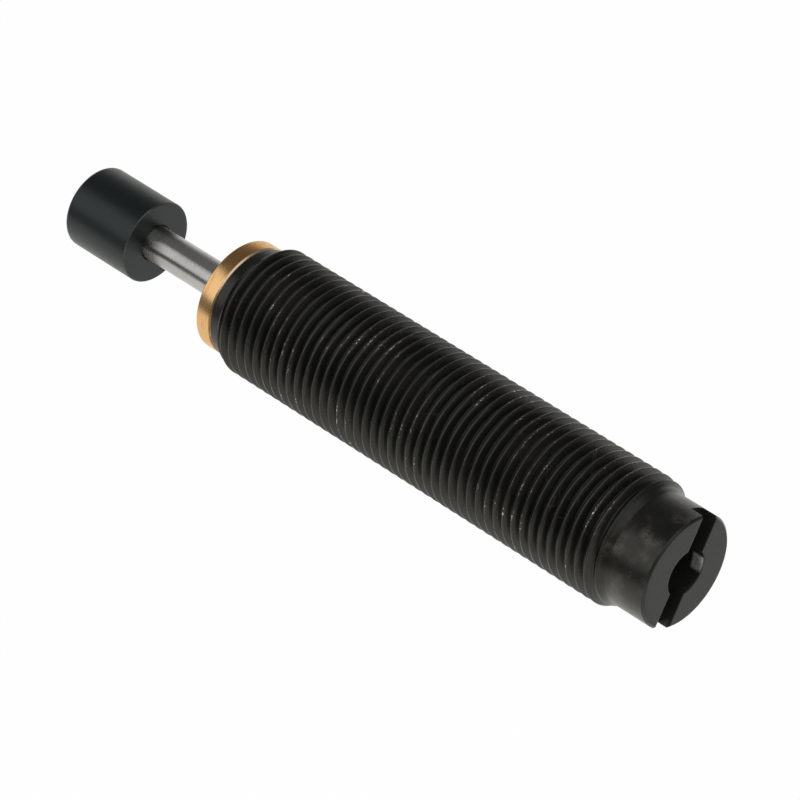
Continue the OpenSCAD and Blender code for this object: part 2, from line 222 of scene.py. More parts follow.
def lattice(rows, columns, wrap=True):
    """Quads of a grid of points numbered row by row. Each joins a point, its right neighbour and the two
    above them, and with wrap the last column joins the first."""
    i = np.arange(rows - 1)[:, None] * columns
    j = np.arange(columns if wrap else columns - 1)[None, :]
    k = (j + 1) % columns
    return np.stack([i + j, i + k, i + columns + k, i + columns + j], axis=-1).reshape(-1, 4)


def polar(x, radius, angle):
    """Points at place x on the axis, at a radius, turned by angle from +Y toward +Z:
    y is radius times cosine, z is radius times sine."""
    x, radius, angle = np.broadcast_arrays(x, radius, angle)
    return np.stack([x, radius * np.cos(angle), radius * np.sin(angle)], axis=-1).reshape(-1, 3)


def smooth_step(t):
    """Zero below 0, one above 1, and 3t squared minus 2t cubed between."""
    t = np.clip(t, 0, 1)
    return t * t * (3 - 2 * t)


def soft_least(a, b, k):
    """The lesser of a and b, with the corner between them rounded over a width of about k:
    half of a plus b less the root of their difference squared plus k squared."""
    return 0.5 * (a + b - np.sqrt((a - b) ** 2 + k * k))


def build(name, grids, sharp=32.0, exposed=None):
    """A mesh object from grids, each a pair of points and quads. Points that fall together are merged, which
    closes seams and poles. A quad that has lost a corner becomes a triangle, and one that has lost two goes.
    Exposed says for each grid how open its points are to wear. Edges over sharp degrees are kept sharp."""
    counts = np.cumsum([0] + [len(points) for points, _ in grids])
    points = np.concatenate([points for points, _ in grids])
    quads = np.concatenate([quads + start for (_, quads), start in zip(grids, counts)])
    together = 1e-8
    keys = np.round(points / together).astype(np.int64)
    _, first, inverse = np.unique(keys, axis=0, return_index=True, return_inverse=True)
    corners = inverse.reshape(-1)[quads]
    new = corners != np.roll(corners, 1, axis=1)
    sides = new.sum(axis=1)
    four = corners[sides == 4]
    three = corners[sides == 3][new[sides == 3]].reshape(-1, 3)
    used, numbers = np.unique(np.concatenate([four.ravel(), three.ravel()]), return_inverse=True)
    numbers = numbers.reshape(-1)
    mesh = bpy.data.meshes.new(name)
    faces = numbers[: four.size].reshape(-1, 4).tolist() + numbers[four.size :].reshape(-1, 3).tolist()
    mesh.from_pydata(points[first[used]], [], faces)
    if exposed:
        attribute = mesh.attributes.new("exposed", "FLOAT", "POINT")
        attribute.data.foreach_set("value", np.concatenate(exposed)[first[used]].astype(np.float32))
    mesh.shade_smooth()
    mesh.set_sharp_from_angle(angle=math.radians(sharp))
    mesh.update()
    piece = bpy.data.objects.new(name, mesh)
    bpy.context.scene.collection.objects.link(piece)
    return piece


def rounded(outline, radii, steps, closed=True):
    """An outline of (x, radius) points with each corner replaced by an arc that touches both sides. The arc's
    middle lies on the corner's bisector, and its points turn evenly from one touching point to the other."""
    p = np.array(outline, float)
    rho = np.broadcast_to(np.array(radii, float), len(p)).copy()
    back, ahead = np.roll(p, 1, axis=0) - p, np.roll(p, -1, axis=0) - p
    if not closed:
        rho[[0, -1]] = 0
        back[0], ahead[-1] = -ahead[0], -back[-1]
    u = back / np.linalg.norm(back, axis=1, keepdims=True)
    v = ahead / np.linalg.norm(ahead, axis=1, keepdims=True)
    half = 0.5 * np.arccos(np.clip((u * v).sum(axis=1), -1, 1))
    touch = np.where(half < math.pi / 2 - 1e-6, rho / np.tan(half), 0)
    bisector = u + v
    size = np.linalg.norm(bisector, axis=1, keepdims=True)
    centre = p + np.where(size > 1e-9, bisector / np.maximum(size, 1e-9), 0) * (rho / np.sin(half))[:, None]
    a, b = p + u * touch[:, None] - centre, p + v * touch[:, None] - centre
    sweep = np.maximum(math.pi - 2 * half, 1e-9)[:, None]
    w = np.linspace(0, 1, steps + 1)[None, :]
    first, last = np.sin((1 - w) * sweep) / np.sin(sweep), np.sin(w * sweep) / np.sin(sweep)
    arcs = centre[:, None] + first[..., None] * a[:, None] + last[..., None] * b[:, None]
    return arcs.reshape(-1, 2)


def lathed(name, outline, radii, steps, columns, closed=True):
    """A piece turned about the X axis. Each point of its outline, once the corners are rounded, keeps its
    place and its radius and goes round in even steps. The outline has the solid on its right."""
    outline = rounded(outline, radii, steps, closed)
    if closed:
        outline = np.concatenate([outline, outline[:1]])
    angles = np.linspace(0, FULL_TURN, columns, endpoint=False)[None, :]
    return build(name, [(polar(outline[:, :1], outline[:, 1:], angles), lattice(len(outline), columns))])


def thread_radius(phase, sizes, crest):
    """Radius of the thread by its phase, which is 0 on a crest and half in a groove, in pitches. Each flank
    leans 30 degrees: the radius grows by the root of 3 with the distance from the groove, whose bottom is a
    hyperbola, and the crest is cut off at its own radius with softened edges."""
    slope = math.sqrt(3)
    away = (0.5 - np.abs(phase)) * sizes.pitch
    top = 0.5 * (sizes.pitch - sizes.crest_width)
    bottom = 0.084 * sizes.pitch  # how far from the groove's middle its flanks straighten
    lift = sizes.root_radius - slope * bottom
    short = sizes.crest_radius - lift - slope * math.sqrt(top**2 + bottom**2)
    flank = lift + slope * np.sqrt(away**2 + bottom**2) + short * smooth_step(away / top)
    return soft_least(flank, crest, sizes.crest_softness)


def thread_rows(thread, barrel, outer):
    """Place, radius and exposure of the thread's points, and its quads. Rows follow the helix, so that each
    crest is one line of points: a point lies at its row's place plus one pitch for each turn, held between the
    two ends of the threaded length. Outer holds the angles of the columns."""
    rear, front, pitch = BARREL_REAR + barrel.shank_length, thread.front_runout, thread.pitch
    to_groove = np.array([0, 0.045, 0.075, 0.11, 0.2, 0.32, 0.4, 0.455])
    phases = np.concatenate([to_groove, [0.5], 1 - to_groove[:0:-1]])
    whole = math.ceil((front - rear) / pitch) + 3
    crest_at_zero = -pitch * thread.start_turn / FULL_TURN
    origin = crest_at_zero + pitch * math.floor((rear - crest_at_zero) / pitch - 1)
    base = outer[0, 0]
    turns = (outer - base) / FULL_TURN
    origin = origin + pitch * base / FULL_TURN - pitch
    rows = (np.arange(whole)[:, None] + phases[None, :]).ravel()
    phase = np.broadcast_to(((rows + 0.5) % 1 - 0.5)[:, None], (len(rows), outer.shape[1]))
    along = rows[:, None] + turns
    sway = 0.008 * MM
    x = origin + pitch * along + sway * (np.sin(13 * along) + np.sin(31 * along + 2))
    held = np.clip(x, rear, front)

    # Crests vary slightly in height and carry small dents, each a bell-shaped hollow
    uneven, widest = 0.006 * MM, 0.16
    ripple = np.sin(19 * along) + np.sin(43 * along + 1)
    crest = thread.crest_radius - uneven * (1 + 0.5 * ripple)
    random = np.random.default_rng(11)
    nick_x = random.uniform(rear, front, thread.nicks)
    nick_turn = random.uniform(0, 1, thread.nicks)
    nick_size = random.uniform(0.05, widest, thread.nicks) * MM
    nick_deep = random.uniform(0.01, 0.05, thread.nicks) * MM
    dents = np.zeros(x.shape)
    reach = 5 * widest * MM
    lows = np.searchsorted(rows, (nick_x - reach - origin) / pitch - 1)
    highs = np.searchsorted(rows, (nick_x + reach - origin) / pitch)
    for low, high, nx, nt, size, deep in zip(lows, highs, nick_x, nick_turn, nick_size, nick_deep):
        off = ((turns - nt + 0.5) % 1 - 0.5) * FULL_TURN * thread.crest_radius
        dents[low:high] += deep * np.exp(-((x[low:high] - nx) ** 2 + (0.5 * off) ** 2) / size**2)

    # To the rear the grooves get shallower and fade out in a cone down to the shank, and at the front a
    # chamfer ends them. The crests and the dents in them are the most exposed
    full, shank, neck = thread.crest_radius, barrel.shank_radius, barrel.neck_radius
    rise = np.clip((held - rear) / thread.rear_runout, 0, 1)
    radius = full - (full - thread_radius(phase, thread, crest) + dents) * smooth_step(1.15 * rise)
    radius = shank + (radius - shank) * (rise + smooth_step(rise)) / 2
    radius = np.minimum(radius, neck + (front - held) * (full - neck) / thread.front_runout)
    rub_depth, rub_soft, dent_depth, crest_foot = 0.10 * MM, 0.075 * MM, 0.02 * MM, 5.7 * MM
    exposed = smooth_step((radius - full + rub_depth) / rub_soft)
    exposed = np.maximum(exposed, smooth_step(dents / dent_depth) * (radius > crest_foot))

    # Rows that are held at an end fall on the same ring, and after a full turn the last column joins the
    # first one a pitch further on
    count = outer.shape[1]
    first = np.maximum((x <= rear).sum(axis=0) - 1, 0)
    last = np.minimum((x < front).sum(axis=0), len(rows) - 1)
    i, j = np.arange(len(rows) - 1)[:, None], np.arange(count)[None, :]
    k, shift = (j + 1) % count, (j == count - 1) * len(phases)

    def point(row, column):
        return np.clip(np.minimum(row, len(rows) - 1), first[column], last[column]) * count + column

    quads = np.stack([point(i, j), point(i + shift, k), point(i + 1 + shift, k), point(i + 1, j)], axis=-1)
    return held, radius, exposed, quads.reshape(-1, 4)


def barrel_grids(thread, barrel, fit):
    """The barrel as one closed skin: two lugs beside the slot, the slot's floor, the shank, the thread, the
    neck, and then the bores from front to rear. All rings have the same number of columns. Returns the grids
    and, for each, how much the surface there is exposed to wear."""
    turn0 = barrel.slot_turn + math.pi / 2
    half, b = barrel.slot_width / 2, barrel.edge_round
    hole, shank = barrel.hole_radius, barrel.shank_radius
    rear, floor = BARREL_REAR, BARREL_REAR + barrel.slot_depth
    grids, wear = [], []

    def add(x, radius, angle, exposed=0.0, wrap=True, quads=None):
        """Adds the grid of all these places, radii and angles, with its exposure."""
        shape = np.broadcast(x, radius, angle).shape
        grids.append((polar(x, radius, angle), lattice(*shape, wrap) if quads is None else quads))
        wear.append(np.broadcast_to(exposed, shape).ravel())

    # Columns: next to the slot they keep a distance from its wall, and between they are evenly spread
    near_wall = np.array([0, 0.3, 0.8, 1.8]) * b

    def lug_angles(r):
        near = np.arcsin((half + near_wall) / np.reshape(r, (-1, 1)))
        middle = near[:, -1:] + (math.pi - 2 * near[:, -1:]) * np.linspace(0, 1, 36)[1:-1]
        return np.concatenate([near, middle, math.pi - near[:, ::-1]], axis=1)

    def slot_angles(r):
        return np.arcsin(np.linspace(-half, half, 8) / np.reshape(r, (-1, 1)))

    def ring_angles(r):
        turns = np.concatenate([slot_angles(r)[:, :-1], lug_angles(r)[:, :-1]], axis=1)
        return np.concatenate([turns, turns + math.pi], axis=1)

    # The rear faces of the lugs: their depth below the rear plane is the bevel at the rim, or the rounding
    # at the hole or at the slot, whichever is the greatest
    flat_end = shank - barrel.rear_bevel
    rings = np.concatenate([
        hole + near_wall, np.linspace(hole + 3 * b, flat_end - 0.08 * MM, 7),
        np.linspace(flat_end - 0.04 * MM, shank, 7),
    ])
    angles = lug_angles(rings)
    radii = np.broadcast_to(rings[:, None], angles.shape)
    past_rim, from_hole, from_slot = radii - flat_end, radii - hole, radii * np.sin(angles) - half

    def rounding(distance):
        inner = np.clip(b - distance, 0, b)
        return b - np.sqrt(b * b - inner * inner)

    bevelled = -soft_least(-past_rim, 0, 0.02 * MM) - 0.00001 * MM
    depth = np.maximum.reduce([bevelled, rounding(from_hole), rounding(from_slot), 0 * radii])
    rim_rub, edge_rub = 0.07 * MM, 0.12 * MM
    away = [np.abs(past_rim) / rim_rub, from_slot / edge_rub, from_hole / edge_rub]
    steps = np.linspace(0, 1, 4)[:, None]
    edge_first = 1.0 * (steps == 0)
    for at in (turn0, turn0 + math.pi):
        add(rear + depth, radii, angles + at, np.clip(1 - np.minimum.reduce(away), 0, 1), wrap=False)
        down = rear + depth[-1] + (floor - rear - depth[-1]) * steps
        add(down, shank, angles[-1] + at, 0.7 * edge_first, wrap=False)
        up = floor + (rear + depth[0] - floor) * steps
        add(up, hole, angles[0] + at, edge_first[::-1], wrap=False)
        for column, order in ((0, slice(None)), (-1, slice(None, None, -1))):
            top = (rear + depth[:, column])[order]
            add(top + (floor - top) * steps, rings[order], angles[order, column] + at, edge_first, wrap=False)
        add(floor, rings[:, None], slot_angles(rings) + at, wrap=False)

    # The shank, as plain rings, and the thread
    outer = ring_angles(shank) + turn0
    add(np.linspace(floor, rear + barrel.shank_length, 6)[:, None], shank, outer)
    x, radius, exposed, quads = thread_rows(thread, barrel, outer)
    add(x, radius, outer, exposed, quads=quads)

    # The neck, the front end and the bores, as plain rings from front to rear
    tube_rear, _, tube_radius = span("pressure_tube")
    plug_radius, seat_radius = span("fill_plug")[2] + fit, tube_radius + fit
    shoulder, hole_end = span("plug_seal")[1], rear + barrel.hole_depth
    bore, neck, seat_end = span("rod_guide")[2] + fit, barrel.neck_radius, tube_rear + barrel.seat_depth
    bevel, break_edge = 0.12 * MM, 0.05 * MM
    path = np.array([
        (thread.front_runout, neck), (BARREL_FRONT - bevel, neck), (BARREL_FRONT, neck - bevel),
        (BARREL_FRONT, bore + break_edge), (BARREL_FRONT - break_edge, bore), (seat_end, bore),
        (seat_end, seat_radius), (tube_rear, seat_radius),
    ])
    add(path[:, :1], path[:, 1:], outer)
    inner = ring_angles(hole) + turn0
    passage = barrel.passage_radius
    path = np.array([
        (tube_rear, passage), (shoulder, passage), (shoulder, plug_radius), (hole_end, plug_radius),
        (hole_end, hole), (floor, hole),
    ])
    add(path[:, :1], path[:, 1:], inner)
    add(tube_rear, [[seat_radius], [passage]], np.concatenate([outer, inner]))
    return grids, wear


def spring_grid(sizes, rear, front, coil_radius):
    """A round wire carried along a helix. The wire's middle goes round the axis at the coil's radius and rises
    by its own thickness in the closed turn at each end and evenly between. Each section is a circle square to
    the path, which leans by the angle whose tangent is the rise over the way round. Both ends close in a point."""
    wire, turns = sizes.wire_radius, sizes.turns
    steps, sides = 44, 14
    t = np.linspace(0, turns, turns * steps + 1)
    total = front - rear - 2 * wire
    open_pitch = (total - 4 * wire) / (turns - 2)
    rise = np.interp(t, [0, 1, turns - 1, turns], [0, 2 * wire, total - 2 * wire, total])
    climb = np.where((t < 1) | (t > turns - 1), 2 * wire, open_pitch)
    lean = np.arctan2(climb, FULL_TURN * coil_radius)[:, None]
    size = np.full(len(t), wire)
    size[[0, -1]] = 0
    a = (FULL_TURN * t)[:, None]
    b = np.linspace(0, FULL_TURN, sides, endpoint=False)[None, :]
    out = coil_radius + size[:, None] * np.cos(b)
    up = size[:, None] * np.sin(b)
    x = rear + wire + rise[:, None] + up * np.cos(lean)
    y = out * np.cos(a) + up * np.sin(lean) * np.sin(a)
    z = out * np.sin(a) - up * np.sin(lean) * np.cos(a)
    return np.stack([x, y, z], axis=-1).reshape(-1, 3), lattice(len(t), sides)


def foam_grid(sizes, rear, front, outer):
    """A sleeve of foam: a rounded rectangle carried round the axis. Its skin is dimpled inward by the product
    of waves along and round it, a cell apart, whose phases wander, so the cells look uneven."""
    bore, edge, deepest, point_gap = sizes.foam_bore, 0.12 * MM, 0.035 * MM, 0.4 * sizes.foam_cell
    outline = rounded([(rear, bore), (rear, outer), (front, outer), (front, bore)], edge, 3)
    ends = np.concatenate([outline, outline[:1]])
    way = np.concatenate([[0], np.cumsum(np.linalg.norm(np.diff(ends, axis=0), axis=1))])
    at = np.linspace(0, way[-1], int(way[-1] / point_gap), endpoint=False)
    outline = np.stack([np.interp(at, way, ends[:, 0]), np.interp(at, way, ends[:, 1])], axis=-1)
    angle = np.linspace(0, FULL_TURN, int(FULL_TURN * outer / point_gap), endpoint=False)[None, :]
    waves = max(4, round(FULL_TURN * outer / sizes.foam_cell / 2))
    along = at[:, None] * math.pi / sizes.foam_cell
    dent = np.sin(along + 1.3 * np.sin(5 * angle)) * np.sin(waves * angle + 1.1 * np.sin(0.6 * along))
    dent = deepest * (0.5 + 0.5 * dent)
    to_middle = np.array([(rear + front) / 2, (outer + bore) / 2]) - outline
    straight = np.array([0.5 * (front - rear), 0.5 * (outer - bore)]) - edge
    inward = np.sign(to_middle) * (np.abs(to_middle) > straight)
    x = outline[:, :1] + inward[:, :1] * dent
    r = outline[:, 1:] + inward[:, 1:] * dent
    return polar(np.concatenate([x, x[:1]]), np.concatenate([r, r[:1]]), angle), lattice(len(x) + 1, angle.size)


# ---------------------------------------------------------------- shader building


def operation(name, swapped=False):
    """A method of Term that adds one math node."""

    def method(self, other=0.0):
        sides = (other, self) if swapped else (self, other)
        return self.nodes.add("ShaderNodeMath", 0, dict(enumerate(sides)), operation=name)

    return method


class Term:
    """An output of a shader node in a formula. Each operation on it adds a node to its tree."""

    __add__ = __radd__ = operation("ADD")
    __mul__ = __rmul__ = operation("MULTIPLY")
    __sub__, __rsub__ = operation("SUBTRACT"), operation("SUBTRACT", swapped=True)
    __truediv__, __rtruediv__ = operation("DIVIDE"), operation("DIVIDE", swapped=True)
    __lt__, __gt__, __pow__ = operation("LESS_THAN"), operation("GREATER_THAN"), operation("POWER")
    __abs__, root, most = operation("ABSOLUTE"), operation("SQRT"), operation("MAXIMUM")

    def __init__(self, nodes, socket):
        self.nodes, self.socket = nodes, socket

    def clamped(self):
        """The same number held between 0 and 1."""
        self.socket.node.use_clamp = True
        return self

    def span(self, low, high, to_low=0.0, to_high=1.0):
        """The number taken from low..high to to_low..to_high along a smooth step."""
        inputs = dict(enumerate((self, low, high, to_low, to_high)))
        return self.nodes.add("ShaderNodeMapRange", 0, inputs, interpolation_type="SMOOTHSTEP")

    def blend(self, a, b):
        """Colour a where this is 0 and colour b where it is 1."""
        return self.nodes.add("ShaderNodeMix", 2, {0: self, 6: a, 7: b}, data_type="RGBA")

    def between(self, a, b):
        """Number a where this is 0 and number b where it is 1."""
        return self.nodes.add("ShaderNodeMix", 0, {0: self, 2: a, 3: b}, data_type="FLOAT")


class Nodes:
    """Adds nodes to a tree."""

    def __init__(self, tree):
        self.tree = tree

    def add(self, kind, out=0, inputs=None, **settings):
        """Adds a node and returns one output, several if out is a tuple, or the node itself if out is None.
        A term given as an input is linked, and anything else is set as its value."""
        node = self.tree.nodes.new(kind)
        for key, value in settings.items():
            setattr(node, key, value)
        for key, value in (inputs or {}).items():
            self.join(value, node.inputs[key])
        if out is None:
            return node
        if isinstance(out, tuple):
            return [Term(self, node.outputs[key]) for key in out]
        return Term(self, node.outputs[out])

    def join(self, value, socket):
        """Links a term to an input or gives the input a value. A colour gets full opacity."""
        if isinstance(value, Term):
            self.tree.links.new(value.socket, socket)
        else:
            socket.default_value = (*value[:3], 1.0) if socket.type == "RGBA" else value

    def vector(self, x, y, z):
        """Three numbers as a vector."""
        return self.add("ShaderNodeCombineXYZ", 0, {0: x, 1: y, 2: z})

    def noise(self, vector, scale, detail, seed=None, roughness=0.5):
        """Cloudy noise about a half. A seed sets its place along a fourth way."""
        inputs = {"Vector": vector, "Scale": scale, "Detail": detail, "Roughness": roughness}
        if seed is None:
            return self.add("ShaderNodeTexNoise", 0, inputs)
        return self.add("ShaderNodeTexNoise", 0, {**inputs, "W": seed}, noise_dimensions="4D")

    def principled(self, height, relief, inputs):
        """Gives the tree a Principled surface, embossed by height times relief, which is in millimetres."""
        normal = self.add("ShaderNodeBump", 0, {"Height": height, "Distance": relief * MM, "Strength": 1.0})
        shader = self.add("ShaderNodeBsdfPrincipled", 0, {**inputs, "Normal": normal})
        self.add("ShaderNodeOutputMaterial", None, {"Surface": shader})


def emptied(owner):
    """The nodes of a material or a world, ready to be added to."""
    owner.use_nodes = True
    owner.node_tree.nodes.clear()
    return Nodes(owner.node_tree)


def new_material(name):
    """An empty material and its nodes."""
    material = bpy.data.materials.new(name)
    return material, emptied(material)


def shown_name(key):
    """A socket's name as it is shown: lines_per_mm becomes Lines per mm."""
    return key.replace("_", " ").capitalize()


def shared(*outputs, **inputs):
    """Turns a formula into a node group with these outputs and number inputs, which is made once. Each call
    adds it to a tree and returns one of its outputs. Its inputs are given in their order or by name."""

    def wrap(formula):
        def use(nodes, out=0, *values, **named):
            group = bpy.data.node_groups.get(formula.__name__)
            if group is None:
                group = bpy.data.node_groups.new(formula.__name__, "ShaderNodeTree")
                for key, value in inputs.items():
                    socket = group.interface.new_socket(
                        name=shown_name(key), in_out="INPUT", socket_type="NodeSocketFloat")
                    socket.default_value = value
                for key in outputs:
                    group.interface.new_socket(name=key, in_out="OUTPUT", socket_type="NodeSocketFloat")
                inner = Nodes(group)
                given = inner.add("NodeGroupInput", tuple(shown_name(key) for key in inputs))
                end = inner.add("NodeGroupOutput", None)
                for key, result in zip(outputs, formula(inner, *given)):
                    inner.join(result, end.inputs[key])
            chosen = {**dict(zip(inputs, values)), **named}
            chosen = {shown_name(key): value for key, value in chosen.items()}
            return nodes.add("ShaderNodeGroup", out, chosen, node_tree=group)

        return use

    return wrap


def object_place(nodes):
    """Object coordinates as one vector."""
    return nodes.add("ShaderNodeTexCoord", "Object")


def axis_parts(nodes):
    """Object coordinates as place on the axis, depth, height and distance from the axis, which is the root of
    depth squared plus height squared."""
    x, y, z = nodes.add("ShaderNodeSeparateXYZ", (0, 1, 2), {0: object_place(nodes)})
    return x, y, z, (y * y + z * z).root()


@shared("Value", lines_per_mm=12.0, wander=0.12, detail=3.0)
def turning_marks(nodes, lines, wander, detail):
    """Fine rings left by the lathe, so many lines to a millimetre: noise of the place on the axis and of the
    radius, which changes only slowly round the piece."""
    x, y, z, r = axis_parts(nodes)
    lines = lines * PER_MM
    side = (y + z * 0.6) * (lines * wander)
    return (nodes.noise(nodes.vector(x * lines, r * lines, side), 1.0, detail),)


@shared("Broad", "Fine", patch_size_mm=3.0, stretch=1.0, seed=0.0)
def mottle(nodes, patch, stretch, seed):
    """Uneven thickness of a coating or tarnish: broad noise, and finer noise to break it up."""
    x, y, z = nodes.add("ShaderNodeSeparateXYZ", (0, 1, 2), {0: object_place(nodes)})
    scale = PER_MM / patch
    vector = nodes.vector(x * (scale * stretch), y * scale, z * scale)
    return nodes.noise(vector, 1.0, 3.0, seed, 0.6), nodes.noise(vector, 6.5, 4.0, seed, 0.6)


@shared("Mask", spacing_mm=0.5, spot_size=0.25, share=0.1, seed=0.0)
def specks(nodes, spacing, spot, kept, seed):
    """Sparse small specks: round spots about the points of a cell pattern, of a size given in cells, and only
    in the share of cells that is kept, by each cell's own random number."""
    distance, random = nodes.add("ShaderNodeTexVoronoi", ("Distance", "Color"), {
        "Vector": object_place(nodes), "W": seed, "Scale": PER_MM / spacing}, voronoi_dimensions="4D")
    chance = nodes.add("ShaderNodeSeparateColor", 0, {0: random})
    return (((spot - distance) / spot).clamped() * (chance < kept),)


@shared("Mask", along_per_mm=0.2, across_per_mm=3.0, lean=0.3, width=0.012, share=0.4, seed=0.0)
def hairlines(nodes, along, across, lean, width, kept, seed):
    """Hairline scratches: where a noise that is drawn out along one way passes its middle value there is a
    thin line, and a broader noise keeps only some of them."""
    x, y, z = nodes.add("ShaderNodeSeparateXYZ", (0, 1, 2), {0: object_place(nodes)})
    lean = lean * (y + z)
    along, across = along * PER_MM, across * PER_MM
    vector = nodes.vector((x + lean) * along, (y - lean * 0.5) * across, z * across)
    line = (1.0 - abs(nodes.noise(vector, 1.0, 0.0, seed) - 0.5) / width).clamped()
    gate = kept - nodes.noise(vector, 0.35, 1.0, seed + 7.0)
    return (line * ((gate + 0.08) * 8.0).clamped(),)


@shared("Mask", place=0.0, radius=0.005, width=0.0001, broken=0.5)
def rim_wear_and_painted_light(nodes, place, radius, width, broken):
    """A mask round a rim of a turned piece, for rubbed wear on black oxide and for painted highlight and shade on
    bronze: it falls from one on the rim, a circle given by its place and its radius, to nothing at the given width,
    and is broken up by noise."""
    x, _, _, r = axis_parts(nodes)
    dx, dr = x - place, r - radius
    mask = (1.0 - (dx * dx + dr * dr).root() / width).clamped()
    noise = ((nodes.noise(object_place(nodes), 1400.0, 4.0) - 0.3) * 2.5).clamped()
    return (mask * (1.0 - broken * (1.0 - noise)),)


# ---------------------------------------------------------------- finishes

WORN_CREST = (0.85, 0.84, 0.80)
LIT_BORE = (0.95, 0.95, 0.91)
# Pale bronze for hairline scratches and for the painted highlight high on the collar's rim
SCRATCH_AND_HIGHLIGHT_BRONZE = (0.98, 0.84, 0.62)
PALE_DUST = (0.12, 0.12, 0.12)
BURNISHED_FACE = (0.0295, 0.0305, 0.0355)
SLOT_SHADE = (0.018, 0.0195, 0.015)
# Dark brown for the barrel's front bevel behind the collar: painted shade in the joint
JOINT_SHADE = (0.030, 0.012, 0.005)
BARREL_TINT = (1.0, 0.985, 0.91)
BUTTON_TINT = (0.88, 1.0, 1.0)
BRONZE_TINT = (0.94, 0.87, 0.77)
WARM_WHITE = (1.0, 0.993, 0.955)
WHITE = (1.0, 1.0, 1.0)


def scaled(tone, factor):
    """A colour made darker or lighter, at most 1 in each part."""
    return [min(1, v * factor) for v in tone]


def oxide_material(name, colours, black, brown=1.0, scratches=1.0, gloss=(0.25, 0.37), tint=WHITE, rims=(),
                   bands=(), bore=None, thread_from=None):
    """Satin black oxide on steel. It is a thin dark coat over turning marks, browner where it is thin, with a
    few specks and hairlines, rubbed through to bare steel on the rims. Behind thread_from, a place on the
    axis, hands have scuffed it, and before it the exposed crests of the mesh are worn. Bands, each with its
    two places, its outer radius, its colour and its shine, are even, like a burnished end face. A bore, given
    by its mouth and its radius, gets a painted pool of light, pale and metallic, on its wall beside its mouth
    on the -Y side. Rims are each given by place, radius, width and how broken the rubbing is."""
    material, nodes = new_material(name)
    if thread_from or bands or bore:
        x, y, z, r = axis_parts(nodes)
    broad = mottle(nodes, "Broad", patch_size_mm=4.0, seed=2.0)
    fine = mottle(nodes, "Fine", patch_size_mm=0.9, seed=5.0)
    marks = turning_marks(nodes, lines_per_mm=9.0, wander=0.1)
    spots = specks(nodes, spacing_mm=0.42, spot_size=0.14, share=0.04, seed=1.0)
    lines = hairlines(
        nodes, along_per_mm=1.1, across_per_mm=0.35, lean=0.8, width=0.012, share=0.42, seed=3.0)
    rubbed = spots * (0.55 * scratches)
    if thread_from:
        grip = x.span(thread_from, thread_from + 1.5 * MM, 0.07, 0.0)
        broad = broad + grip
        scuffed = broad.span(0.53, 0.66) * fine.span(0.35, 0.6, 0.1, 1.0) * (grip * 4.5)
        exposed = nodes.add("ShaderNodeAttribute", "Fac", attribute_name="exposed")
        streaks = mottle(nodes, "Fine", patch_size_mm=1.6, stretch=2.5, seed=12.0)
        streaks = streaks.span(0.55, 0.62) * broad.span(0.55, 0.63)
        worn = exposed.span(0.4, 1.0) * ((streaks + 0.02) * (5.0 * colours.wear)) * (x > thread_from)
        rubbed = rubbed.most(scuffed).most(worn)
    for rim in rims:
        rubbed = rubbed.most(rim_wear_and_painted_light(nodes, "Mask", *rim) * 0.6)
    rubbed = rubbed.most(lines * (0.16 * scratches)).clamped()
    coat = broad.span(0.45, 0.78, 0.0, brown).blend(black, colours.oxide_brown)
    base = rubbed.blend(coat, colours.bare_steel)
    if thread_from:
        base = worn.blend(base, WORN_CREST)
    metal = rubbed * 0.9
    rough = rubbed.between(fine.span(0.3, 0.7, *gloss), 0.3)
    for low, high, outer, tone, shine in bands:
        band = (x > low) * (x < high) * (r < outer)
        base, metal = band.blend(base, tone), band.between(metal, shine)
    if bore:
        mouth, radius = bore
        # Painted light: a pale, metallic pool of light on the bore's wall beside its mouth on the lower -Y side,
        # fading deeper in
        lit = (r < radius) * (x > mouth) * y.span(-0.95 * radius, -0.8 * radius, 1.0, 0.0)
        lit = lit * x.span(mouth + 0.4 * radius, mouth + 0.55 * radius, 1.0, 0.0)
        lit = lit * z.span(0.0, 0.2 * radius, 1.0, 0.0)
        base, metal, rough = lit.blend(base, LIT_BORE), lit.between(metal, 0.85), lit.between(rough, 0.42)
    nodes.principled(marks * 0.6 + fine * 0.5 - spots * 0.4, 0.0045, {
        "Base Color": base, "Metallic": metal, "Roughness": rough, "IOR": 1.46, "Specular Tint": tint})
    return material


